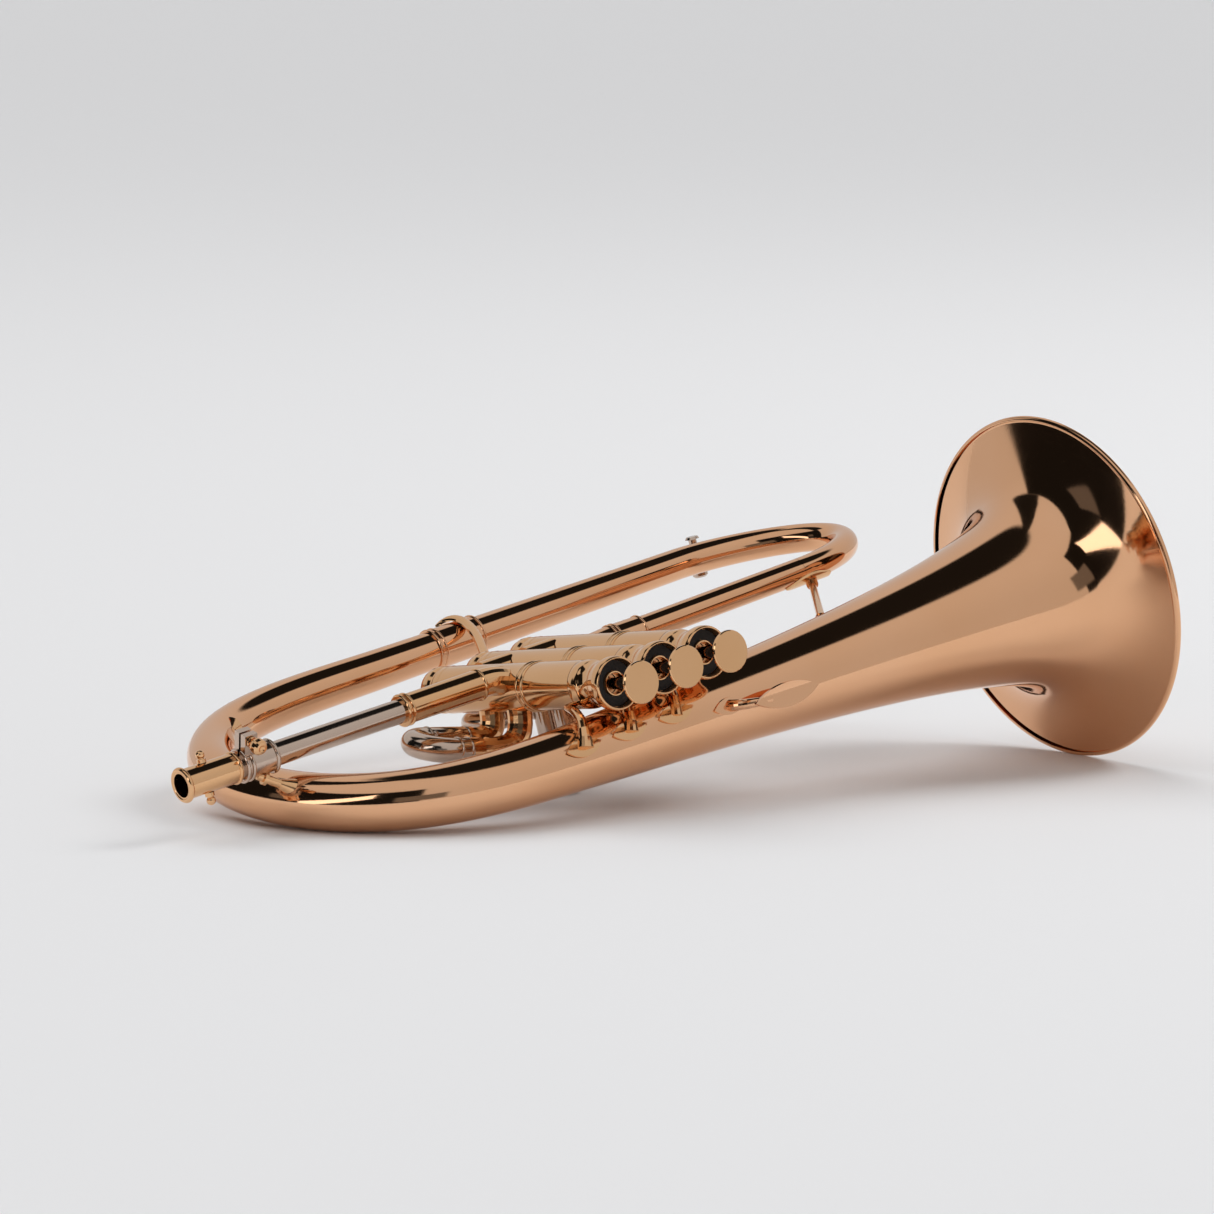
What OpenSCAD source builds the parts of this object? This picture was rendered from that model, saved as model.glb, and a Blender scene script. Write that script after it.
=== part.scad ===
// Flugelhorn in B flat: three piston valves, a telescoping leadpipe with a lock
// screw, three tuning slides and a push-button water key, resting on its side.
//
// Every module is drawn in the horn's own frame: x runs along the bell axis with
// the bell rim at x = 0, z points from the valve bottoms to the finger buttons and
// y points to the player's left. lay() then sets the horn down as it rests.

/* [Bell] */
// Outer diameter of the bell rim
bell_d = 152.4; // [148:0.2:157]
// Length of the bell, from the rim back to the bow
bell_len = 250; // [249:0.5:251]
// Sheet thickness of the bell and the bows
wall = 0.6; // [0.5:0.05:0.8]
// Radius of the rolled bead on the rim
bead_r = 1.6; // [1.4:0.05:1.8]

/* [Back bow] */
// Distance from the bell axis down to the lower tube
loop_depth = 150; // [148:0.5:152]
// How far the back bow reaches behind the bell
bow_reach = 121; // [119:0.5:123]
// How far the lower tube stands to the left of the bell axis
loop_side = 36.5; // [36:0.1:37]
// Squareness of the back bow: lower is squarer
bow_power = 0.59; // [0.57:0.01:0.61]
// Outer radius where the back bow ends
bow_end_r = 8.1; // [8:0.05:8.2]

/* [Front bow and outlet] */
// Outer radius of the lower tube at its front end
lower_r = 6.95; // [6.85:0.05:7.05]
// How far the front bow reaches forward
front_reach = 53.8; // [53:0.2:55]
// Outer radius of the outlet tube
outlet_r = 5.7; // [5.6:0.05:5.8]

/* [Valves] */
// Spacing of the three valves
valve_pitch = 23.45; // [23.3:0.05:23.6]
// Outer radius of a valve casing
casing_r = 10; // [9.9:0.05:10.1]
// Bore radius of a valve casing
casing_bore_r = 8.5; // [8.4:0.05:8.6]
// Stroke of each valve
stroke = 16; // [12:0.5:16]
// Radius of a finger button
button_r = 8.65; // [8.3:0.05:8.8]

/* [Leadpipe] */
// Outer radius of the sliding leadpipe
leadpipe_r = 5.05; // [5:0.05:5.1]
// Bore radius of the mouthpiece receiver
receiver_bore_r = 4.9; // [4.7:0.05:5]
// Depth of the mouthpiece receiver bore
receiver_depth = 26; // [22:1:28]

/* [Slides] */
// Outer radius of the slides' outer tubes
outer_r = 5.3; // [5.2:0.05:5.4]
// Outer radius of the slides' inner legs
leg_r = 4.6; // [4.5:0.05:4.65]

/* [Resting pose] */
// Nose-up angle of the bell axis as the horn lies on its side
lay_pitch = 10.66; // [10.6:0.01:10.7]
// Lean of the valves from level as the horn lies on its side
lay_roll = 7.9; // [7.85:0.01:7.95]

/* [Hidden] */
$fn = 64;
tiny = 0.01;
fit = 0.05;             // radial running clearance

lacquer = [0.78, 0.55, 0.40];
brass = [0.80, 0.64, 0.36];
nickel = [0.66, 0.62, 0.58];
felt = [0.07, 0.06, 0.06];

rim_r = bell_d / 2;
shift_x = 202.843;           // these two centre the lying horn on the origin
lay_y = -44.621;
bow_drop = 6;           // how much further back the bow ends than it starts
bow_x = -bell_len;
valve_y = 26.75;
valve_x = [for (i = [0:2]) -253.9 + i * valve_pitch];
casing_lo = -97.5;
cap_z = 22;             // top face of the top caps
lead_y = 33.3;
lead_z = -47;
outlet_z = -75;
front_x = -83.4;        // start of the front bow on the lower tube
front_y = 38.7;
outlet_x = -76.8;       // end of the front bow on the outlet tube
outlet_y = 30.3;
slide_tilt = 15;        // slides 1 and 3 lean back and to the left
bead_x = 0.2;           // the rim bead's centre, just ahead of the sheet's edge
lay_lift = (rim_r - bead_r) * cos(lay_pitch) + bead_r - bead_x * sin(lay_pitch);

// ---- placing -------------------------------------------------------------

module lay()
    translate([shift_x, lay_y, lay_lift]) rotate([0, -lay_pitch, 0])
        rotate([-lay_roll, 0, 0]) rotate([90, 0, 0]) children();

// Turns +Z of its children to point from p to q, and moves them to p
module along(p, q) {
    d = q - p;
    translate(p) rotate([0, acos(d[2] / norm(d)), atan2(d[1], d[0])]) children();
}
module rod(p, q, r1, r2) along(p, q) cylinder(h = norm(q - p), r1 = r1, r2 = r2);
module pipe(p, q, r1, r2, w) difference() {
    rod(p, q, r1, r2);
    u = (q - p) / norm(q - p);
    rod(p - u, q + u, r1 - w, r2 - w);
}
module ring(p, axis, r, w) along(p - axis * w / 2, p + axis * w / 2)
    rotate_extrude() translate([r, w / 2]) circle(r = w / 2, $fn = 24);

// ---- sweeping ------------------------------------------------------------

function unit(v) = v / norm(v);
function bezier(p, t) = pow(1 - t, 3) * p[0] + 3 * t * pow(1 - t, 2) * p[1]
    + 3 * t * t * (1 - t) * p[2] + pow(t, 3) * p[3];
function lengths(p) = [for (i = 0, s = 0; i < len(p);
    s = s + (i + 1 < len(p) ? norm(p[i + 1] - p[i]) : 0), i = i + 1) s];
function tangent(p, i) = unit(p[min(i + 1, len(p) - 1)] - p[max(i - 1, 0)]);
// Ring i of a sweep along p, whose curve lies near the plane with normal nrm
function hoop(p, i, r, nrm, sides) =
    let (t = tangent(p, i), e = unit(cross(nrm, t)), f = cross(t, e))
    [for (k = [0:sides - 1]) p[i] + r * (cos(360 * k / sides) * e + sin(360 * k / sides) * f)];

// Solid rod swept along points p with radii r
module sweep_rod(p, r, nrm, sides) {
    n = len(p);
    polyhedron(points = [for (i = [0:n - 1]) each hoop(p, i, r[i], nrm, sides)],
        faces = concat(
            [for (i = [0:n - 2], k = [0:sides - 1]) let (a = i * sides, b = a + sides, m = (k + 1) % sides)
                each [[a + k, b + k, b + m], [a + k, b + m, a + m]]],
            [[for (k = [0:sides - 1]) k]],
            [[for (k = [sides - 1:-1:0]) (n - 1) * sides + k]]));
}
// Hollow tube swept along points p with outer radii r and sheet thickness w
module sweep_pipe(p, r, w, nrm, sides) {
    n = len(p);
    in = n * sides;
    polyhedron(points = concat([for (i = [0:n - 1]) each hoop(p, i, r[i], nrm, sides)],
                               [for (i = [0:n - 1]) each hoop(p, i, r[i] - w, nrm, sides)]),
        faces = concat(
            [for (i = [0:n - 2], k = [0:sides - 1]) let (a = i * sides, b = a + sides, m = (k + 1) % sides)
                each [[a + k, b + k, b + m], [a + k, b + m, a + m]]],
            [for (i = [0:n - 2], k = [0:sides - 1]) let (a = in + i * sides, b = a + sides, m = (k + 1) % sides)
                each [[a + m, b + m, b + k], [a + m, b + k, a + k]]],
            [for (k = [0:sides - 1]) let (m = (k + 1) % sides) [k, m, in + m, in + k]],
            [for (k = [0:sides - 1]) let (m = (k + 1) % sides, a = (n - 1) * sides)
                [a + m, a + k, in + a + k, in + a + m]]));
}

// ---- bell and bows -------------------------------------------------------

// Outer radius of the bell at distance d behind the rim
function bell_radius(d) = 46.5 * pow(1 + d / 75, -0.76) + (rim_r - 46.5) * exp(-d / 7.5) - 0.6 * pow(d / 250, 2);
// Inner radius that leaves a sheet of even thickness
function bell_inner(d) = bell_radius(d)
    - wall * sqrt(1 + pow((bell_radius(d + 0.1) - bell_radius(d)) / 0.1, 2));
bell_steps = concat([for (d = [0.25:1.25:15.25]) d], [for (d = [18:4:50]) d], [for (d = [58:12:238]) d],
    [bell_len]);

module bell() color(lacquer) rotate([0, -90, 0]) {
    difference() {
        rotate_extrude($fn = 128) polygon(concat(
            [for (d = bell_steps) [bell_radius(d), d]],
            [for (k = [len(bell_steps) - 1:-1:0]) [bell_inner(bell_steps[k]), bell_steps[k]]]));
        translate([0, 0, -bead_x]) rotate_extrude($fn = 128) translate([rim_r - bead_r, 0]) circle(r = bead_r * 0.7);
    }
    translate([0, 0, -bead_x]) rotate_extrude($fn = 128) translate([rim_r - bead_r, 0]) difference() {
        circle(r = bead_r, $fn = 24);
        circle(r = bead_r * 0.62, $fn = 24);
    }
}
module rim_wire() color(nickel) rotate([0, -90, 0]) translate([0, 0, -bead_x])
    rotate_extrude($fn = 96) translate([rim_r - bead_r, 0]) circle(r = bead_r * 0.55, $fn = 20);

bow_n = 36;
function bow_point(a) = let (s = (1 - cos(a)) / 2)
    [bow_x - bow_reach * pow(max(sin(a), 0), bow_power) - bow_drop * s, loop_side * s, -loop_depth * s];
bow_path = concat([for (k = [0:bow_n]) bow_point(90 - 90 * cos(180 * k / bow_n))],
    [[-234, loop_side + 0.2, -loop_depth], [-212, loop_side + 0.5, -loop_depth]]);
bow_at = lengths(bow_path);
bow_total = bow_at[len(bow_at) - 1];
bow_radii = [for (s = bow_at) bow_end_r + (bell_radius(bell_len) - bow_end_r) *
    (0.8 * (1 - s / bow_total) + 0.2 * exp(-s / 30))];
bow_normal = unit([0, loop_depth, loop_side]);
module bell_bow() color(lacquer) sweep_pipe(bow_path, bow_radii, wall, bow_normal, 24);

lower_a = [-212, loop_side + 0.5, -loop_depth];
lower_b = [front_x, front_y, -loop_depth];
lower_dir = unit(lower_b - lower_a);
// A turned ferrule from p to q: outer radii r1 to r2, bore ri, with round rings at the distances in at
module ferrule(p, q, r1, r2, ri, at, w) along(p, q) rotate_extrude() difference() {
    len = norm(q - p);
    union() {
        polygon([[ri - 1, 0], [r1, 0], [r2, len], [ri - 1, len]]);
        for (s = at) translate([r1 + (r2 - r1) * s / len - w * 0.15, s]) circle(r = w / 2, $fn = 32);
    }
    translate([0, -5]) square([ri, len + 10]);
}
module bow_ferrule() color(nickel)
    ferrule(lower_a - lower_dir * 12, lower_a + lower_dir * 13, 8.9, 8.8, bow_end_r + 0.22, [0.8, 3.2, 24.2], 1.5);
module lower_tube() color(lacquer) pipe(lower_a, lower_b, bow_end_r - 0.1, lower_r, wall);

front_n = 26;
function front_point(a) = let (s = (1 - cos(a)) / 2)
    [front_x + (outlet_x - front_x) * s + front_reach * pow(max(sin(a), 0), 1.18),
     front_y + (outlet_y - front_y) * s, -loop_depth + (outlet_z + loop_depth) * s];
front_path = [for (k = [0:front_n]) front_point(180 * k / front_n)];
front_at = lengths(front_path);
front_total = front_at[front_n];
module front_bow() color(lacquer) sweep_pipe(front_path,
    [for (s = front_at) lower_r + (outlet_r - lower_r) * s / front_total], wall,
    unit([0, loop_depth + outlet_z, front_y - outlet_y]), 20);

outlet_a = [outlet_x, outlet_y, outlet_z];
outlet_b = [-184, 27.9, outlet_z];
outlet_dir = unit(outlet_b - outlet_a);
module outlet_tube() color(lacquer) pipe(outlet_a, outlet_b, outlet_r, outlet_r, wall);
module outlet_ferrule() color(lacquer)
    ferrule(outlet_b - outlet_dir * 17, outlet_b, 6.45, 6.75, outlet_r + fit, [0.8, 14.2, 16.2], 1.4);
module outlet_knuckle() color(lacquer) difference() {
    q = [valve_x[2] + 6, valve_y + 0.6, outlet_z];
    rod(outlet_b + outlet_dir * 0.2, q, 6.6, 5.9);
    rod(outlet_b - outlet_dir, q - [2, 0, 0], 5, 5);
    casing_room(2);
}
module front_brace() color(brass) {
    top = [-73, 25.5, -72];
    foot = [-117, 16, -15];
    u = unit(foot - top);
    difference() {
        union() {
            rod(top - u * 2, top + u * 7, 3.0, 1.9);
            rod(top + u * 7, foot - u * 7, 1.6, 1.9);
            rod(foot - u * 7, foot + u * 3, 1.8, 3.6);
            rod(top + u * 6.5, top + u * 8.2, 2.7, 2.6);
            rod(foot - u * 8, foot - u * 6.4, 2.6, 2.7);
            intersection() {        // saddle on the outlet tube
                rod(outlet_a + outlet_dir * -14, outlet_a + outlet_dir * 22, outlet_r + 0.9, outlet_r + 0.9);
                translate([-73, outlet_y, outlet_z]) rotate([58, 0, 0]) linear_extrude(20) lens(30, 8);
            }
        }
        rod(outlet_a + outlet_dir * -40, outlet_a + outlet_dir * 30, outlet_r + fit, outlet_r + fit);
        rod([-134, 0, 0], [-100, 0, 0], bell_radius(134) + 0.1, bell_radius(100) + 0.1);
    }
}
// Pointed oval of length a and width b
module lens(a, b) {
    r = (a * a / 4 + b * b / 4) / b;
    intersection() {
        translate([0, r - b / 2]) circle(r = r, $fn = 128);
        translate([0, b / 2 - r]) circle(r = r, $fn = 128);
    }
}
// The space that the bell tube takes, for saddles that sit on it
module bell_room(gap) rotate([0, -90, 0]) rotate_extrude($fn = 128)
    polygon(concat([[0, 22]], [for (d = bell_steps) if (d >= 22) [bell_radius(d) + gap, d]],
        [[13.2 + gap, bell_len + 37], [0, bell_len + 37]]));
module casing_room(i) translate([valve_x[i], valve_y, -120]) cylinder(h = 160, r = casing_r + fit);

// Rod that hooks over the lower tube and holds the valves' lower ends
crook = [[-212, 44, -157], [-207, 49.5, -152], [-203, 46.5, -142], [-222, 33, -113]];
module crook_brace() color(brass) difference() {
    sweep_rod([for (k = [0:20]) bezier(crook, k / 20)], [for (k = [0:20]) 2.1], unit([3, 0.6, 1]), 16);
    rod(lower_a - lower_dir * 30, lower_b, 9.55, 9.5);
    translate([valve_x[1], valve_y, -115]) cylinder(h = 40, r = 10.3);
}

// ---- water key -----------------------------------------------------------

key_at = [-67, 38.5, -157.3];
module water_key_body() color(nickel) difference() {
    union() {
        rod(key_at - [0, 9, 0], key_at + [0, 5, 0], 3.5, 3.5);
        rod(key_at - [0, 9.8, 0], key_at - [0, 9, 0], 2.6, 3.5);
    }
    sweep_rod([for (k = [0:10]) front_point(k * 6)], [for (k = [0:10]) lower_r + 0.1],
        unit([0, loop_depth + outlet_z, front_y - outlet_y]), 24);
    rod(key_at - [0, 7, 0], key_at + [0, 12, 0], 1.9, 1.9);
}
module water_key_plunger() color(nickel) {
    rod(key_at - [0, 1, 0], key_at + [0, 7.9, 0], 1.85, 1.85);
    rod(key_at + [0, 7.8, 0], key_at + [0, 8.9, 0], 3.3, 2.6);
}
module helix(r, h, turns, wire, sides) {
    n = turns * 12;
    sweep_rod([for (k = [0:n]) [r * cos(360 * turns * k / n), r * sin(360 * turns * k / n), h * k / n]],
        [for (k = [0:n]) wire], [0, 0, 1], sides);
}
module water_key_spring() color(nickel) translate(key_at - [0, 6.6, 0]) rotate([-90, 0, 0])
    helix(1.2, 5, 3, 0.35, 8);

// ---- valves --------------------------------------------------------------

module turned(i) translate([valve_x[i], valve_y, 0]) children();

module casing(i) color(brass) turned(i) difference() {
    union() {
        translate([0, 0, -93]) cylinder(h = 93, r = casing_r);
        translate([0, 0, casing_lo]) cylinder(h = 4.6, r = 9.25);
        translate([0, 0, -tiny]) cylinder(h = 4.8, r = 9.25);
        for (z = [-35.4, -32.2]) translate([0, 0, z]) rotate_extrude() translate([casing_r - 0.2, 0]) circle(r = 0.85, $fn = 24);
        translate([0, 0, -33.8]) cylinder(h = 3.2, r = casing_r + 0.25, center = true);
    }
    translate([0, 0, casing_lo - 1]) cylinder(h = 110, r = casing_bore_r);
}
module top_cap(i) color(brass) turned(i) rotate_extrude() polygon([
    [9.3, 0.05], [10, 0.05], [10.1, 0.5], [10.1, 2.8], [10, 3.6], [9.85, 5.2], [9.3, 6.4], [8.85, 8], [8.8, 9.6],
    [9.1, 11.6], [9.8, 14], [10.7, 16.6], [11, 18], [11.1, 20.2], [10.9, 21.4], [10.5, cap_z], [10.1, cap_z],
    [9.75, cap_z - 0.6], [9.6, 17.2], [5.1, 17.2], [5.1, 19.4], [4.9, 19.7], [4.5, 19.7], [4.3, 19.4],
    [4.3, 14.6], [7.7, 14.6], [7.7, 5.2], [9.3, 5.2]]);
module cap_felt(i) color(felt) turned(i) translate([0, 0, 17.25]) difference() {
    cylinder(h = 0.9, r = 9.45);
    translate([0, 0, -1]) cylinder(h = 4, r = 5.2);
}
module bottom_cap(i) color(brass) turned(i) rotate_extrude() polygon([
    [9.3, -93.05], [10, -93.05], [10.1, -94], [10, -96.6], [9.35, -98.2], [9.3, -99.2], [9.9, -100.6], [10, -101.8],
    [9.75, -103.8], [9, -106], [7.6, -107.9], [5.4, -109.4], [2.6, -110.1], [0, -110.2],
    [0, -106.6], [2.4, -106.6], [2.4, -104.6], [6.4, -104.6], [7.8, -102.6], [8.1, -98.4], [9.3, -97.6]]);
piston_r = casing_bore_r - 0.04;
piston_lo = -79;
module piston(i) color(nickel) turned(i) difference() {
    translate([0, 0, piston_lo]) cylinder(h = 78, r = piston_r);
    translate([0, 0, piston_lo + 3]) cylinder(h = 66, r = 6.9);
    translate([0, 0, piston_lo - 1]) cylinder(h = 10, r = 2.5);
    for (k = [0:2]) translate([0, 0, -24 - 16 * k]) rotate([0, 90, 35 + 55 * k]) cylinder(h = 40, r = 5.2, center = true);
    translate([0, 0, -8]) cylinder(h = 12, r = 1.6);
}
module stem(i) color(nickel) turned(i) {
    translate([0, 0, -7.9]) cylinder(h = 7, r = 1.55);
    translate([0, 0, -0.95]) cylinder(h = 12.3, r1 = 6, r2 = 5);
    translate([0, 0, 11.3]) cylinder(h = 2.9, r = 6.3);
    translate([0, 0, 14]) cylinder(h = 20.6, r = 2.4);
    translate([0, 0, 34.5]) cylinder(h = 1.6, r = 1.5);
}
module button(i) color(brass) turned(i) difference() {
    rotate_extrude($fn = 96) polygon([[0, 34.7], [3, 34.7], [4.2, 35.7], [button_r - 0.4, 35.8], [button_r, 36.1],
        [button_r, 36.9], [button_r - 0.35, 37.3], [0, 37.3]]);
    translate([0, 0, 34]) cylinder(h = 2.2, r = 1.55);
}
module spring(i) color(nickel) turned(i) translate([0, 0, -104]) helix(5.2, 24.4, 6, 0.5, 6);

// Short crossing tubes between neighbouring valves
module crossing(i) color(brass) difference() {
    rod([valve_x[i] + 4, valve_y + 4.4, -78], [valve_x[i + 1] - 4, valve_y + 4.4, -78], 5.9, 5.9);
    casing_room(i);
    casing_room(i + 1);
}

// ---- leadpipe ------------------------------------------------------------

lead_dir = [1, 0, 0];
function lead(x) = [x, lead_y, lead_z];
module receiver() color(brass) {
    difference() {
        union() {
            rod(lead(-422.2), lead(-396.2), 6.2, 6.15);
            ring(lead(-421.4), lead_dir, 6.2, 2.2);
            ring(lead(-397.2), lead_dir, 6.0, 1.6);
        }
        rod(lead(-430), lead(-422.5 + receiver_depth - 1), receiver_bore_r, receiver_bore_r);
        rod(lead(-399), lead(-395), 4.4, 4.4);
    }
    for (s = [1, -1]) {
        p = lead(-410.5);
        rod(p + [0, 6.1 * s, 0], p + [0, 7.6 * s, 0], 1.9, 1.9);
        rod(p + [0, 7.5 * s, 0], p + [0, 8.3 * s, 0], 1.3, 1.3);
        translate(p + [0, 9.4 * s, 0]) sphere(r = 1.9, $fn = 32);
    }
}
module leadpipe() color(nickel) {
    difference() {
        rod(lead(-396.15), lead(-284), leadpipe_r, leadpipe_r);
        rod(lead(-397), lead(-283), 4.4, 4.4);
    }
}
screw_x = -391;
module clamp_collar() color(nickel) difference() {
    union() {
        rod(lead(-394.5), lead(-378.5), 6.4, 6.4);
        for (x = [-393.8, -391.2, -379.3]) ring(lead(x), lead_dir, 6.5, 1.6);
        // ears that the lock screw draws together
        translate(lead(screw_x)) rotate([25, 0, 0]) translate([0, 10, 0]) cube([6, 9, 7], center = true);
    }
    rod(lead(-400), lead(-370), leadpipe_r + fit, leadpipe_r + fit);
    translate(lead(screw_x)) rotate([25, 0, 0]) {
        translate([0, 10.5, 0]) cube([8, 12, 1.2], center = true);
        translate([0, 11.5, -5]) cylinder(h = 10, r = 1.35);
    }
}
module lock_screw() color(brass) translate(lead(screw_x)) rotate([25, 0, 0]) translate([0, 11.5, 0]) {
    translate([0, 0, -5.2]) cylinder(h = 10.2, r = 1.3);
    translate([0, 0, 3.8]) cylinder(h = 1.2, r = 2.4);
    translate([0, 0, 4.9]) cylinder(h = 1.3, r = 1.7);
    translate([0, 0, 6]) difference() {
        rotate_extrude() polygon([[0, 0], [2.2, 0], [3.2, 0.8], [3.4, 2], [3.2, 3.6], [2.5, 4.6], [0, 4.8]]);
        translate([0, 0, 5.6]) sphere(r = 1.7, $fn = 32);
    }
}
// Braces from the clamp collar to the back bow, each cut to the bow's surface
module bow_foot(p, q, a, da, r, foot_r) difference() {
    u = unit(q - p);
    t = unit(bow_point(a + 1) - bow_point(a - 1));
    union() {
        rod(p, q, 1.7, 2.0);
        rod(q - u * 5, q + u * 1, 2.0, foot_r);
        rod(p + u * 2.6, p + u * 4.1, 2.8, 2.8);
    }
    if (da == 0) rod(bow_point(a) - t * 16, bow_point(a) + t * 16, r, r);
    else for (k = [-2:1]) rod(bow_point(a + k * da), bow_point(a + k * da + da), r, r);
    rod(lead(-400), lead(-370), 6.45, 6.45);
}
module clamp_brace_near() color(brass) bow_foot(lead(-387) + [0, -6, 0], [-374.6, 18.8, -45], 70, 0, 11.5, 4);
module clamp_brace_far() color(brass) bow_foot(lead(-387.5) + [0, 4.2, -4.9], [-345, 35.4, -128], 138, 6, 10.2, 5.5);

module leadpipe_sleeve() color(brass) difference() {
    union() {
        rod(lead(-314), lead(-273), 6.1, 6.3);
        for (x = [-313.2, -310.9, -274]) ring(lead(x), lead_dir, 6.1, 1.6);
    }
    rod(lead(-315), lead(-272), leadpipe_r + fit, leadpipe_r + fit);
}
inlet = [lead(-272.9), lead(-266), [-262, valve_y + 5.5, lead_z], [-252, valve_y, lead_z]];
module inlet_knuckle() color(brass) difference() {
    sweep_rod([for (k = [0:12]) bezier(inlet, k / 12)], [for (k = [0:12]) 6.2 - 0.3 * k / 12], [0, 0, 1], 20);
    casing_room(0);
}

// ---- slides --------------------------------------------------------------

// Slides 1 and 3 lie back from their knuckles, towards the player
function back(tilt) = [-cos(tilt), sin(tilt), 0];
s1_dir = back(15);
s1_near = [-284, 8.3, -50];
s1_far = [-284, 13.1, -70];
s1_len = 6.5;
s1_more = 14;           // how much further forward the far outer tube starts
s3_dir = back(0);
s3_near = [-226, 10.7, -81];
s3_far = [-226, 10.7, -100.5];
s3_len = 13.5;
s3_outer_r = outer_r - 0.8;
s3_leg_r = leg_r - 0.8;
s2_a = [valve_x[1], 17.05, -52];
s2_b = [valve_x[1], 17.05, -66.5];
s2_len = 27.3;          // its bow just meets the ground
down = [0, -1, 0];

module outer_tube(p, dir, length, ro, rl) color(nickel) difference() {
    union() {
        rod(p, p + dir * length, ro, ro);
        for (s = [0.8, length - 0.8]) ring(p + dir * s, dir, ro - 0.2, 1.2);
    }
    rod(p - dir, p + dir * (length + 1), rl + fit, rl + fit);
}
// A U of two legs: the legs run inside the outer tubes, the bow joins them
module slide(a, b, dir, length, inside, ro, rl) color(nickel) {
    c = b - a;
    for (p = [a, b]) difference() {
        rod(p + dir * inside, p + dir * (length + 0.6), rl, rl);
        rod(p + dir * (inside - 1), p + dir * (length + 1), rl - 0.5, rl - 0.5);
    }
    u = unit(c);
    n = cross(dir, u);
    m = a + dir * (length + 0.3) + c / 2;
    multmatrix([[dir[0], u[0], n[0], m[0]], [dir[1], u[1], n[1], m[1]], [dir[2], u[2], n[2], m[2]]])
        rotate([0, 0, -90]) rotate_extrude(angle = 180) translate([norm(c) / 2, 0]) difference() {
            circle(r = ro, $fn = 40);
            circle(r = rl - 0.4, $fn = 40);
        }
}
// Knuckle: a straight socket of a slide's leg, then a bend q into the casing
module knuckle(p, dir, straight, q, ro, rl) {
    e = p - dir * straight;
    g = e + dir * 0.4;
    difference() {
        rod(p - dir * 0.05, e, ro, ro);
        rod(p + dir, e - dir, rl + fit, rl + fit);
    }
    sweep_pipe([for (k = [0:12]) bezier([g, e - dir * q[0], q[1], q[2]], k / 12)], [for (k = [0:12]) ro - 0.04],
        ro - rl - 0.14, [0, 0, 1], 16);
}
module slide_1_outer() {
    outer_tube(s1_near, s1_dir, s1_len, outer_r, leg_r);
    outer_tube(s1_far - s1_dir * s1_more, s1_dir, s1_len + s1_more, outer_r, leg_r);
    color(nickel) translate(s1_far + s1_dir * 4 + [0, 2.6, 5.4]) sphere(r = 1.2, $fn = 32);
}
module slide_1() slide(s1_near, s1_far, s1_dir, s1_len, -5, outer_r, leg_r);
module slide_1_knuckles() color(brass) difference() {
    union() {
        knuckle(s1_near, s1_dir, 5.5, [11, [-255, -1, s1_near[2]], [-254.5, 20, s1_near[2]]], outer_r, leg_r);
        knuckle(s1_far - s1_dir * s1_more, s1_dir, 2, [4, [-254.5, 2.5, s1_far[2]], [-254.5, 20, s1_far[2]]],
            outer_r, leg_r);
    }
    casing_room(0);
}
module slide_2_outer() difference() {
    for (p = [s2_a, s2_b]) outer_tube(p, down, s2_len - 1.9, outer_r, leg_r);
    casing_room(1);
}
module slide_2() slide(s2_a - [0, 1.6, 0], s2_b - [0, 1.6, 0], down, s2_len, 3, outer_r, leg_r);
module slide_3_outer() for (p = [s3_near, s3_far]) outer_tube(p, s3_dir, s3_len, s3_outer_r, s3_leg_r);
module slide_3() slide(s3_near, s3_far, s3_dir, s3_len, -3, s3_outer_r, s3_leg_r);
module slide_3_knuckles() color(brass) difference() {
    union() {
        knuckle(s3_near, s3_dir, 3.5, [11, [-206.8, 6, -77.5], [-206.6, 19, -77.5]], s3_outer_r, s3_leg_r);
        knuckle(s3_far, s3_dir, 3.5, [11, [-206.8, 6, -88], [-206.6, 19, -88.2]], s3_outer_r, s3_leg_r);
    }
    casing_room(2);
}

// ---- braces and hook -----------------------------------------------------

module valve_braces() color(brass) for (i = [0:2]) let (x = valve_x[i]) difference() {
    union() {
        sweep_rod([for (k = [0:8]) bezier([[x - 6, 19, -8], [x - 10, 18, 3], [x - 14, 16, 13], [x - 17.5, 5, 13.5]], k / 8)],
            [for (k = [0:8]) 1.9 + 1.6 * pow(k / 8, 4)], unit([0, 1, 1]), 16);
        intersection() {            // leaf-shaped saddle on the bell tube
            translate([x - 18, 0, 0]) rotate([-22, 0, 0]) linear_extrude(40) lens(17, 8);
            bell_room(0.9);
        }
    }
    casing_room(i);
    translate([x, valve_y, 0]) cylinder(h = 30, r = 10.8);
    bell_room(0.05);
}
module finger_hook() color(lacquer) difference() {
    union() {
        intersection() {            // saddle on the bell tube
            translate([-199, 2, 0]) linear_extrude(40) lens(16, 7);
            bell_room(1);
        }
        sweep_rod([for (k = [0:12]) bezier([[-199, 2, 15], [-199, 2, 24], [-194, 1.5, 27.6], [-186, 1, 28.4]], k / 12)],
            [for (k = [0:12]) 2.6 - 0.9 * k / 12], [0, 1, 0], 16);
        translate([-177.5, 0.6, 27.6]) rotate([0, 3, -2]) difference() {
            translate([0, 0, 0]) linear_extrude(5) lens(35, 10);
            translate([0, 0, 23.5]) rotate([0, 90, 0]) cylinder(h = 60, r = 22, center = true, $fn = 160);
        }
    }
    bell_room(0.05);
}

// ---- drawing -------------------------------------------------------------

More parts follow.
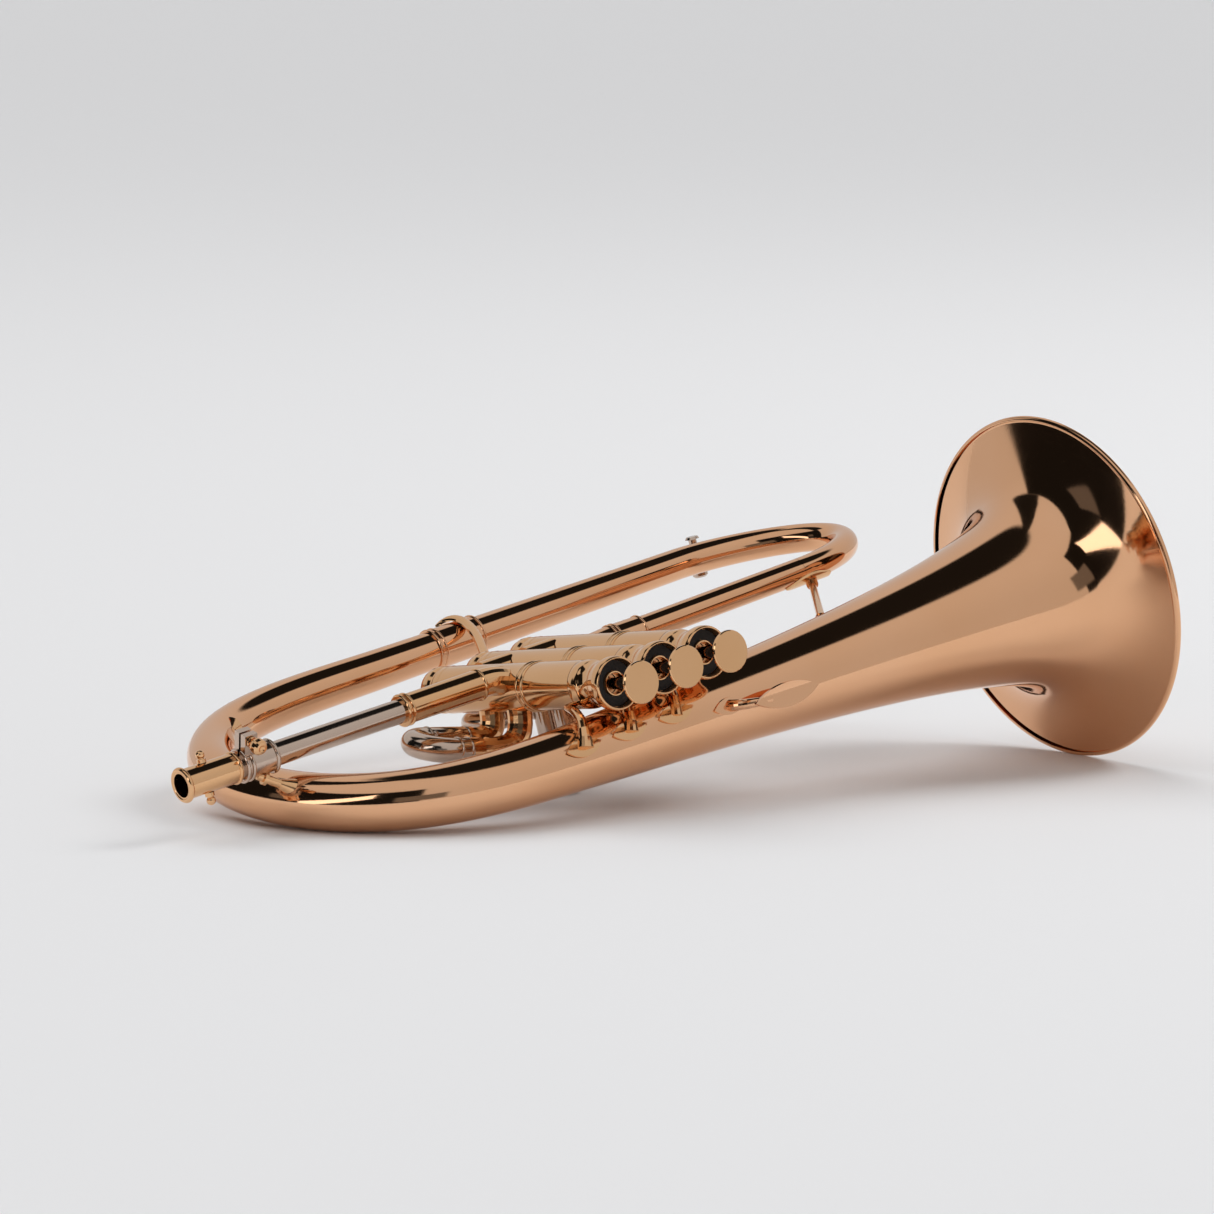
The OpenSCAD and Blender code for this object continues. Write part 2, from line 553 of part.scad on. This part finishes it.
lay() bell();
lay() rim_wire();
lay() bell_bow();
lay() bow_ferrule();
lay() crook_brace();
lay() lower_tube();
lay() front_bow();
lay() water_key_body();
lay() water_key_plunger();
lay() water_key_spring();
lay() outlet_tube();
lay() outlet_ferrule();
lay() outlet_knuckle();
lay() front_brace();
lay() casing(0);  // casing_1
lay() casing(1);  // casing_2
lay() casing(2);  // casing_3
lay() top_cap(0);  // top_cap_1
lay() top_cap(1);  // top_cap_2
lay() top_cap(2);  // top_cap_3
lay() bottom_cap(0);  // bottom_cap_1
lay() bottom_cap(1);  // bottom_cap_2
lay() bottom_cap(2);  // bottom_cap_3
lay() piston(0);  // piston_1
lay() piston(1);  // piston_2
lay() piston(2);  // piston_3
lay() stem(0);  // stem_1
lay() stem(1);  // stem_2
lay() stem(2);  // stem_3
lay() button(0);  // button_1
lay() button(1);  // button_2
lay() button(2);  // button_3
lay() cap_felt(0);  // cap_felt_1
lay() cap_felt(1);  // cap_felt_2
lay() cap_felt(2);  // cap_felt_3
lay() spring(0);  // spring_1
lay() spring(1);  // spring_2
lay() spring(2);  // spring_3
lay() crossing(0);  // crossing_12
lay() crossing(1);  // crossing_23
lay() inlet_knuckle();
lay() leadpipe_sleeve();
lay() leadpipe();
lay() receiver();
lay() clamp_collar();
lay() lock_screw();
lay() clamp_brace_near();
lay() clamp_brace_far();
lay() slide_1_outer();
lay() slide_1_knuckles();
lay() slide_1();
lay() slide_2_outer();
lay() slide_2();
lay() slide_3_outer();
lay() slide_3_knuckles();
lay() slide_3();
lay() valve_braces();
lay() finger_hook();
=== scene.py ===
import bpy, bmesh, math
import numpy as np
from mathutils import Matrix, Vector


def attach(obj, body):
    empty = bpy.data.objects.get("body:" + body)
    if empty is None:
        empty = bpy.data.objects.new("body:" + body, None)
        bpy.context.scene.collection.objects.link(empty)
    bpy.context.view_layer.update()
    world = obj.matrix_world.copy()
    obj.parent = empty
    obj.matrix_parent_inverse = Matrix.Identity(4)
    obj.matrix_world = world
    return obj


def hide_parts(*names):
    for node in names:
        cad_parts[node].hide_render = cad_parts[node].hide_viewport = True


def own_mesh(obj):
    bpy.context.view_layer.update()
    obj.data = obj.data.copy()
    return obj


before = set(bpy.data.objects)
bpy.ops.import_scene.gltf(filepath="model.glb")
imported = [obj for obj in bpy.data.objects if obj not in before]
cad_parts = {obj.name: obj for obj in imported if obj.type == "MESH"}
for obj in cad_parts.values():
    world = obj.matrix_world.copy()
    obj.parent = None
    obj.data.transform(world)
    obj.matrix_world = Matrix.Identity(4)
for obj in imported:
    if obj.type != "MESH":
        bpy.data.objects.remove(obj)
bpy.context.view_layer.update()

# ---- the horn's own frame -------------------------------------------------------
# x along the bell axis (rim at 0), y to the player's left, z towards the buttons.
# The numbers, in millimetres, repeat part.scad's; place() sets the horn down as it lies.
PITCH, ROLL = math.radians(10.66), math.radians(7.9)
RIM, BEAD, BEAD_X = 76.2, 1.6, 0.2      # rim radius, rim bead's radius and how far ahead of the rim it is
WALL = 0.6                              # sheet thickness of the bell and the bows
BELL_END = 250                          # where the bell meets its bow
THROAT = 46.5                           # the bell's radius at the rim without its last flare
LOOP = 150                              # how far the lower tube lies from the bell's axis
LOWER_Y = 36.5                          # the lower tube's side offset where the bell bow ends
VALVE_X = [-253.9 + 23.45 * i for i in range(3)]
VALVE_Y = 26.75
SPRING_Z = -104                         # the valve springs' lower ends
KEY_X, KEY_Y, KEY_Z = -67, 38.5, -157.3     # the water key
SHARP = 32                              # degrees; edges sharper than this stay sharp on the CAD nodes
LIFT = (RIM - BEAD) * math.cos(PITCH) + BEAD - BEAD_X * math.sin(PITCH)


def turn(axis, a):
    c, s = math.cos(a), math.sin(a)
    if axis == "x":
        return np.array([[1, 0, 0], [0, c, -s], [0, s, c]])
    return np.array([[c, 0, s], [0, 1, 0], [-s, 0, c]])


LAY = turn("y", -PITCH) @ turn("x", -ROLL) @ turn("x", math.pi / 2)
SHIFT = np.array([202.843, -44.621, LIFT])


def place(p):
    return (np.asarray(p, float) @ LAY.T + SHIFT) / 1000.0


def unit(v):
    v = np.asarray(v, float)
    return v / np.linalg.norm(v)


def v3(*a):
    return np.array(a, float)


# ---- materials --------------------------------------------------------------------
def node(nt, kind, **kw):
    n = nt.nodes.new(kind)
    for k, v in kw.items():
        setattr(n, k, v)
    return n


BUMP_STRENGTH = 0.012


def metal(name, base, dark, rough, tarnish):
    """Polished metal: colour clouds, light smudges and the fine bump of polishing marks."""
    m = bpy.data.materials.new(name)
    m.use_nodes = True
    nt = m.node_tree
    b = nt.nodes["Principled BSDF"]
    b.inputs["Metallic"].default_value = 1.0
    tc = node(nt, "ShaderNodeTexCoord")
    clouds = node(nt, "ShaderNodeTexNoise")
    clouds.inputs["Scale"].default_value = 18
    clouds.inputs["Detail"].default_value = 4
    nt.links.new(tc.outputs["Object"], clouds.inputs["Vector"])
    ramp = node(nt, "ShaderNodeValToRGB")
    ramp.color_ramp.elements[0].position = 0.38
    ramp.color_ramp.elements[0].color = (*dark, 1)
    ramp.color_ramp.elements[1].position = 0.62
    ramp.color_ramp.elements[1].color = (*base, 1)
    mixc = node(nt, "ShaderNodeMixRGB")
    mixc.inputs["Fac"].default_value = tarnish
    mixc.inputs["Color1"].default_value = (*base, 1)
    nt.links.new(clouds.outputs["Fac"], ramp.inputs["Fac"])
    nt.links.new(ramp.outputs["Color"], mixc.inputs["Color2"])
    nt.links.new(mixc.outputs["Color"], b.inputs["Base Color"])
    smudge = node(nt, "ShaderNodeTexNoise")
    smudge.inputs["Scale"].default_value = 42
    smudge.inputs["Detail"].default_value = 7
    smudge.inputs["Roughness"].default_value = 0.65
    nt.links.new(tc.outputs["Object"], smudge.inputs["Vector"])
    rr = node(nt, "ShaderNodeMapRange")
    rr.inputs["From Min"].default_value = 0.35
    rr.inputs["From Max"].default_value = 0.7
    rr.inputs["To Min"].default_value = rough * 0.8
    rr.inputs["To Max"].default_value = rough * 1.35
    nt.links.new(smudge.outputs["Fac"], rr.inputs["Value"])
    nt.links.new(rr.outputs["Result"], b.inputs["Roughness"])
    fine = node(nt, "ShaderNodeTexNoise")
    fine.inputs["Scale"].default_value = 900
    fine.inputs["Detail"].default_value = 2
    nt.links.new(tc.outputs["Object"], fine.inputs["Vector"])
    bp = node(nt, "ShaderNodeBump")
    bp.inputs["Strength"].default_value = BUMP_STRENGTH
    bp.inputs["Distance"].default_value = 0.0004
    nt.links.new(fine.outputs["Fac"], bp.inputs["Height"])
    nt.links.new(bp.outputs["Normal"], b.inputs["Normal"])
    return m


def felt_material(name):
    """Black felt: fine mottling, dull, with a fibrous bump."""
    m = bpy.data.materials.new(name)
    m.use_nodes = True
    nt = m.node_tree
    b = nt.nodes["Principled BSDF"]
    tc = node(nt, "ShaderNodeTexCoord")
    n1 = node(nt, "ShaderNodeTexNoise")
    n1.inputs["Scale"].default_value = 1400
    n1.inputs["Detail"].default_value = 6
    nt.links.new(tc.outputs["Object"], n1.inputs["Vector"])
    r = node(nt, "ShaderNodeValToRGB")
    r.color_ramp.elements[0].color = (0.004, 0.004, 0.004, 1)
    r.color_ramp.elements[1].color = (0.03, 0.027, 0.026, 1)
    nt.links.new(n1.outputs["Fac"], r.inputs["Fac"])
    nt.links.new(r.outputs["Color"], b.inputs["Base Color"])
    b.inputs["Roughness"].default_value = 0.95
    b.inputs["Sheen Weight"].default_value = 0.3
    bp = node(nt, "ShaderNodeBump")
    bp.inputs["Strength"].default_value = 0.6
    bp.inputs["Distance"].default_value = 0.0003
    nt.links.new(n1.outputs["Fac"], bp.inputs["Height"])
    nt.links.new(bp.outputs["Normal"], b.inputs["Normal"])
    return m


ROSE = metal("rose_brass_lacquer", (0.83, 0.47, 0.27), (0.78, 0.41, 0.21), rough=0.07, tarnish=0.35)
YELLOW = metal("yellow_brass_lacquer", (0.83, 0.49, 0.255), (0.77, 0.42, 0.19), rough=0.1, tarnish=0.35)
NICKEL = metal("nickel_silver", (0.62, 0.48, 0.39), (0.55, 0.41, 0.32), rough=0.12, tarnish=0.3)
STEEL = metal("spring_steel", (0.5, 0.5, 0.52), (0.42, 0.42, 0.44), rough=0.25, tarnish=0.25)
FELT = felt_material("black_felt")


# ---- mesh makers --------------------------------------------------------------------
def mesh_object(name, verts, faces, material, sharp):
    """A smooth-shaded mesh of points in the horn's frame; edges above the angle sharp stay sharp."""
    me = bpy.data.meshes.new(name)
    me.from_pydata([tuple(p) for p in place(verts)], [], [tuple(int(i) for i in f) for f in faces])
    me.validate()
    bm = bmesh.new()
    bm.from_mesh(me)
    bmesh.ops.recalc_face_normals(bm, faces=bm.faces)
    bm.to_mesh(me)
    bm.free()
    me.materials.append(material)
    o = bpy.data.objects.new(name, me)
    bpy.context.scene.collection.objects.link(o)
    for p in me.polygons:
        p.use_smooth = True
    me.set_sharp_from_angle(angle=math.radians(sharp))
    return o


def basis(d):
    """Two directions across d, and d itself, all of length 1."""
    d = unit(d)
    a = v3(0, 0, 1) if abs(d[2]) < 0.9 else v3(1, 0, 0)
    e = unit(np.cross(a, d))
    return e, np.cross(d, e), d


def lathe(profile, p, d, segs):
    """A closed profile [(radius, distance along d from p), ...] turned about the axis."""
    e, f, d = basis(d)
    n = len(profile)
    verts, faces = [], []
    for k in range(segs):
        a = 2 * math.pi * k / segs
        w = math.cos(a) * e + math.sin(a) * f
        for r, t in profile:
            verts.append(np.asarray(p, float) + w * r + d * t)
    for k in range(segs):
        m = (k + 1) % segs
        for i in range(n):
            j = (i + 1) % n
            if profile[i][0] < 1e-9 and profile[j][0] < 1e-9:
                continue
            faces.append((k * n + i, k * n + j, m * n + j, m * n + i))
    return verts, faces


def sweep(path, radii, wall, segs, nrm):
    """A solid rod, or a tube with a wall, along path; nrm is a direction that the path never takes."""
    path = np.asarray(path, float)
    n = len(path)
    tan = np.array([unit(path[min(i + 1, n - 1)] - path[max(i - 1, 0)]) for i in range(n)])
    e0 = [unit(np.cross(nrm, t)) for t in tan]
    verts, faces = [], []

    def shell(rr, flip):
        k0 = len(verts)
        for i in range(n):
            f = np.cross(tan[i], e0[i])
            for k in range(segs):
                a = 2 * math.pi * k / segs
                verts.append(path[i] + rr[i] * (math.cos(a) * e0[i] + math.sin(a) * f))
        for i in range(n - 1):
            for k in range(segs):
                m = (k + 1) % segs
                q = (k0 + i * segs + k, k0 + i * segs + m, k0 + (i + 1) * segs + m, k0 + (i + 1) * segs + k)
                faces.append(q[::-1] if flip else q)
        return k0

    a = shell(radii, False)
    if wall:
        b = shell([r - wall for r in radii], True)
        for i in (0, n - 1):
            for k in range(segs):
                m = (k + 1) % segs
                q = (a + i * segs + k, b + i * segs + k, b + i * segs + m, a + i * segs + m)
                faces.append(q if i == 0 else q[::-1])
    else:
        faces.append(tuple(a + k for k in range(segs))[::-1])
        faces.append(tuple(a + (n - 1) * segs + k for k in range(segs)))
    return verts, faces


def piece(name, geo, material, nodes, sharp):
    """A new piece of the horn that stands in for the given CAD nodes."""
    o = mesh_object(name, geo[0], geo[1], material, sharp)
    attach(o, "horn")
    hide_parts(*nodes)
    return o


# ---- bell ----------------------------------------------------------------------------
def bell_r(d):
    """Outside radius of the bell, d behind the rim."""
    return THROAT * (1 + d / 75) ** -0.76 + (RIM - THROAT) * math.exp(-d / 7.5) - 0.6 * (d / BELL_END) ** 2


def bell_inner(d):
    """Inside radius; the wall is measured square to the sheet."""
    return bell_r(d) - WALL * math.sqrt(1 + ((bell_r(d + 0.1) - bell_r(d)) / 0.1) ** 2)


# stations behind the rim: close together in the flare, wider along the tube
steps = [0.25 + 14.75 * (k / 30) ** 1.3 for k in range(31)]
steps += [15 + k * 2.5 for k in range(1, 15)]
steps += [50 + k * 5 for k in range(1, 41)]
bead = [(RIM - BEAD + BEAD * math.cos(a), -BEAD_X + BEAD * math.sin(a))
        for a in [math.radians(100 - 245 * k / 26) for k in range(27)]]
profile = [(bell_r(d), d) for d in reversed(steps)]
profile = profile[:-1] + [(RIM - 0.35, 0.95)] + bead + [(bell_inner(d), d) for d in steps if d > 1.6]
piece("bell_skin", lathe(profile, (0, 0, 0), (-1, 0, 0), 256), ROSE, ["bell", "rim_wire"],
      60)


# ---- bell bow and front bow ------------------------------------------------------------
def bow_point(a):
    """The bell bow's centre line; a runs from 0 at the bell to 180 degrees at the lower tube."""
    a = math.radians(a)
    s = (1 - math.cos(a)) / 2
    return v3(-BELL_END - 121 * max(math.sin(a), 0) ** 0.59 - 6 * s, LOWER_Y * s, -LOOP * s)


def path_lengths(p):
    """Distance along the path to each of its points."""
    d = np.linalg.norm(np.diff(np.asarray(p), axis=0), axis=1)
    return np.concatenate([[0], np.cumsum(d)])


bow = [bow_point(90 - 90 * math.cos(math.pi * k / 150)) for k in range(151)]
bow += [v3(-234, 36.7, -LOOP), v3(-223, 36.85, -LOOP), v3(-212, 37, -LOOP)]
at = path_lengths(bow)
BOW_END_R = 8.1
bow_radii = [BOW_END_R + (bell_r(BELL_END) - BOW_END_R) * (0.8 * (1 - s / at[-1]) + 0.2 * math.exp(-s / 30))
             for s in at]
piece("bell_bow_skin", sweep(bow, bow_radii, WALL, 96, unit(v3(0, LOOP, LOWER_Y))), ROSE, ["bell_bow"],
      60)


def front_point(a):
    """The front bow's centre line; a runs from 0 at the lower tube to 180 degrees at the outlet tube."""
    a = math.radians(a)
    s = (1 - math.cos(a)) / 2
    return v3(-83.4 + 6.6 * s + 53.8 * max(math.sin(a), 0) ** 1.18, 38.7 - 8.4 * s, -LOOP + 75 * s)


front = [front_point(180 * k / 110) for k in range(111)]
front_at = path_lengths(front)
front_radii = [6.95 - 1.25 * s / front_at[-1] for s in front_at]
piece("front_bow_skin", sweep(front, front_radii, WALL, 72, unit(v3(0, 75, 8.4))), ROSE, ["front_bow"],
      60)


# ---- springs and valve caps --------------------------------------------------------------
X, Y, Z = v3(1, 0, 0), v3(0, 1, 0), v3(0, 0, 1)
TURN = 36               # steps in one turn of a spring


def helix(p, e, f, d, radius, height, turns, wire):
    """A spring of round wire that rises from p along d; e and f are the directions across it."""
    path = []
    for k in range(turns * TURN + 1):
        a = 2 * math.pi * k / TURN
        path.append(p + radius * (math.cos(a) * e + math.sin(a) * f) + d * height * k / (turns * TURN))
    return sweep(path, [wire] * len(path), None, 12, d)


def spring(name, geo, node_name):
    """A steel spring that stands in for the given CAD node, with a mesh of its own."""
    o = piece(name, geo, STEEL, [node_name], 60)
    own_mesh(o)


for i in range(3):
    geo = helix(v3(VALVE_X[i], VALVE_Y, SPRING_Z), X, Y, Z, 5.2, 24.4, 6, 0.5)
    spring(f"valve_spring_{i + 1}", geo, f"spring_{i + 1}")


def curve_through(points, n=5):
    """Catmull-Rom curve through the points of a profile."""
    q = [points[0]] + list(points) + [points[-1]]
    out = []
    for i in range(1, len(q) - 2):
        a, b, c, d = (np.array(v, float) for v in q[i - 1:i + 3])
        for k in range(n):
            t = k / n
            out.append(tuple(0.5 * (2 * b + (c - a) * t + (2 * a - 5 * b + 4 * c - d) * t * t
                                    + (3 * b - a - 3 * c + d) * t ** 3)))
    return out + [tuple(points[-1])]


# The top cap's profile as (radius, height): the skirt, the waist and mouth, then the bore and the thread
waist = curve_through([
    (10, 3.6), (9.85, 5.2), (9.35, 6.4), (8.9, 8), (8.8, 9.6), (9.1, 11.6), (9.8, 14), (10.6, 16.6),
    (10.95, 18), (11.05, 20.2), (10.85, 21.4), (10.5, 21.9), (10.25, 22), (10, 21.8), (9.75, 21.2)])
top_cap = [(9.32, 0.1), (9.9, 0.1), (10.08, 0.5), (10.08, 2.8)] + waist + [
    (9.62, 17.25), (5.08, 17.25), (5.08, 19.3), (4.95, 19.6), (4.7, 19.7), (4.45, 19.6), (4.32, 19.3),
    (4.32, 14.65), (7.72, 14.65), (7.72, 5.22), (9.32, 5.22)]
for i in range(3):
    piece(f"valve_cap_{i + 1}", lathe(top_cap, v3(VALVE_X[i], VALVE_Y, 0), Z, 128), YELLOW,
          [f"top_cap_{i + 1}"], 40)

key = v3(KEY_X, KEY_Y, KEY_Z)
spring("key_spring", helix(key - 6.6 * Y, X, -Z, Y, 1.2, 5, 3, 0.35), "water_key_spring")


# ---- materials of the CAD nodes that stay -----------------------------------------------
def paint(names, material):
    """Gives the CAD nodes a material and smooth shading; their shape stays."""
    for n in names:
        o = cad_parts[n]
        o.data.materials.clear()
        o.data.materials.append(material)
        for p in o.data.polygons:
            p.use_smooth = True
            p.material_index = 0
        o.data.set_sharp_from_angle(angle=math.radians(SHARP))


every = set(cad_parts)
rose = {"lower_tube", "bow_ferrule", "outlet_tube", "outlet_ferrule", "outlet_knuckle", "finger_hook"}
nickel = {"water_key_body", "water_key_plunger", "leadpipe", "clamp_collar"}
nickel |= {f"{n}_{i}" for n in ("slide", "piston", "stem") for i in (1, 2, 3)}
nickel |= {f"slide_{i}_outer" for i in (1, 2, 3)}
felt = {n for n in every if "felt" in n}
replaced = {"bell", "rim_wire", "bell_bow", "front_bow", "top_cap_1", "top_cap_2", "top_cap_3"}
replaced |= {n for n in every if "spring" in n}
paint(rose, ROSE)
paint(nickel, NICKEL)
paint(felt, FELT)
paint(every - rose - nickel - felt - replaced, YELLOW)

# ---- floor -----------------------------------------------------------------------------
paper = bpy.data.materials.new("paper")
paper.use_nodes = True
b = paper.node_tree.nodes["Principled BSDF"]
b.inputs["Base Color"].default_value = (0.8, 0.8, 0.81, 1)
b.inputs["Roughness"].default_value = 0.9
b.inputs["Specular IOR Level"].default_value = 0.1

# The paper runs far back and stops short of the camera, so that the metal mirrors the dark room
PAPER, EDGE_X, EDGE_Y = 60, -0.7, -0.8
bpy.ops.mesh.primitive_plane_add(size=PAPER, location=(EDGE_X + PAPER / 2, EDGE_Y + PAPER / 2, 0))
floor = bpy.context.object
floor.name = "floor"
floor.data.materials.append(paper)

# ---- studio sky --------------------------------------------------------------------------
# A pale tent with a dark ceiling patch, and a dark room behind the camera with one soft box and
# two dim panels
world = bpy.data.worlds.new("studio")
bpy.context.scene.world = world
world.use_nodes = True
wt = world.node_tree
bg = wt.nodes["Background"]
sky_dir = node(wt, "ShaderNodeTexCoord").outputs["Generated"]
sep = node(wt, "ShaderNodeSeparateXYZ")
wt.links.new(sky_dir, sep.inputs["Vector"])


def calc(op, a, b=None):
    """Output of a maths node for two numbers or sockets."""
    n = node(wt, "ShaderNodeMath", operation=op)
    for i, v in enumerate((a, b)):
        if isinstance(v, (int, float)):
            n.inputs[i].default_value = v
        elif v is not None:
            wt.links.new(v, n.inputs[i])
    return n.outputs[0]


sky_el = calc("ARCSINE", sep.outputs["Z"])
sky_az = calc("ARCTAN2", calc("MULTIPLY", sep.outputs["Y"], -1), calc("MULTIPLY", sep.outputs["X"], -1))


def step(v, at, soft):
    """0 below the angle at and 1 above it, in degrees, with a soft edge."""
    n = node(wt, "ShaderNodeMapRange", interpolation_type="SMOOTHSTEP")
    wt.links.new(v, n.inputs["Value"])
    n.inputs["From Min"].default_value = math.radians(at - soft)
    n.inputs["From Max"].default_value = math.radians(at + soft)
    return n.outputs["Result"]


def window(a0, a1, e0, e1, soft, slope=0.0):
    """1 inside the given azimuths (from -x, counterclockwise) and heights, in degrees.

    slope tilts the heights along the azimuth."""
    el = calc("SUBTRACT", sky_el, calc("MULTIPLY", sky_az, slope)) if slope else sky_el
    m = calc("SUBTRACT", step(sky_az, a0, soft), step(sky_az, a1, soft))
    n = calc("SUBTRACT", step(el, e0, soft), step(el, e1, soft))
    return calc("MULTIPLY", m, n)


def cap(az, el, radius, soft):
    """1 inside a round patch about the direction az, el, in degrees."""
    dot = node(wt, "ShaderNodeVectorMath", operation="DOT_PRODUCT")
    wt.links.new(sky_dir, dot.inputs[0])
    az, el = math.radians(az), math.radians(el)
    dot.inputs[1].default_value = (math.cos(el) * math.cos(az), math.cos(el) * math.sin(az), math.sin(el))
    n = node(wt, "ShaderNodeMapRange", interpolation_type="SMOOTHSTEP")
    wt.links.new(dot.outputs["Value"], n.inputs["Value"])
    n.inputs["From Min"].default_value = math.cos(math.radians(radius + soft))
    n.inputs["From Max"].default_value = math.cos(math.radians(radius - soft))
    return n.outputs["Result"]


def layer(under, mask, level):
    """The sky so far, with the given brightness where the mask is 1."""
    n = node(wt, "ShaderNodeMix", data_type="FLOAT")
    wt.links.new(mask, n.inputs[0])
    if isinstance(under, (int, float)):
        n.inputs[2].default_value = under
    else:
        wt.links.new(under, n.inputs[2])
    n.inputs[3].default_value = level
    return n.outputs[0]


CEILING, ROOM, PALE = 0.012, 0.01, 0.83
sky = layer(0.6, step(sky_el, 35, 25), 0.66)                    # tent walls and roof
sky = layer(sky, cap(10, 70, 25, 2.5), CEILING)
sky = layer(sky, window(-78, -38, 40, 91, 2), CEILING)
sky = layer(sky, window(-53, 62, -91, 41, 1.2), ROOM)
sky = layer(sky, window(48, 75, 2, 19, 1.5), 0.16)              # dim panels
sky = layer(sky, window(-22, -8, 6, 19, 1), 0.12)
sky = layer(sky, window(-5, 35, -5, 9, 0.8, 0.75), 1.9)         # soft box
sky = layer(sky, node(wt, "ShaderNodeLightPath").outputs["Is Camera Ray"], PALE)
wt.links.new(sky, bg.inputs["Color"])
bg.inputs["Strength"].default_value = 1.0

# ---- lamps -------------------------------------------------------------------------------
paper_only = bpy.data.collections.new("paper_only")
bpy.context.scene.collection.children.link(paper_only)
paper_only.objects.link(floor)


def paper_light(name, kind, energy, where, aim=(0, 0, 0)):
    """A lamp that falls on the paper, shaded by the horn."""
    d = bpy.data.lights.new(name, kind)
    d.energy = energy
    o = bpy.data.objects.new(name, d)
    o.location = where
    o.rotation_euler = (Vector(aim) - Vector(where)).to_track_quat("-Z", "Y").to_euler()
    bpy.context.scene.collection.objects.link(o)
    o.light_linking.receiver_collection = paper_only
    return d


paper_light("overhead", "SUN", 1.35, (-0.15, 0.5, 1.0)).angle = math.radians(60)
paper_light("side", "AREA", 60, (3.2, -1.2, 3.0), (0.8, -0.2, 0)).size = 2.0

# ---- camera ------------------------------------------------------------------------------
cam = bpy.data.cameras.new("camera")
cam.sensor_width = 36
cam.lens = 154.45
cam.clip_end = 100
cam_o = bpy.data.objects.new("camera", cam)
eye = v3(-1.33836, -1.68495, 0.34821)
fwd = unit(v3(0.61457, 0.77892, -0.12485))
right = unit(np.cross(fwd, v3(0, 0, 1)))
up = np.cross(right, fwd)
cam_o.matrix_world = Matrix([(right[k], up[k], -fwd[k], eye[k]) for k in range(3)] + [(0, 0, 0, 1)])
bpy.context.scene.collection.objects.link(cam_o)
bpy.context.scene.camera = cam_o
bpy.context.scene.view_settings.view_transform = "Standard"
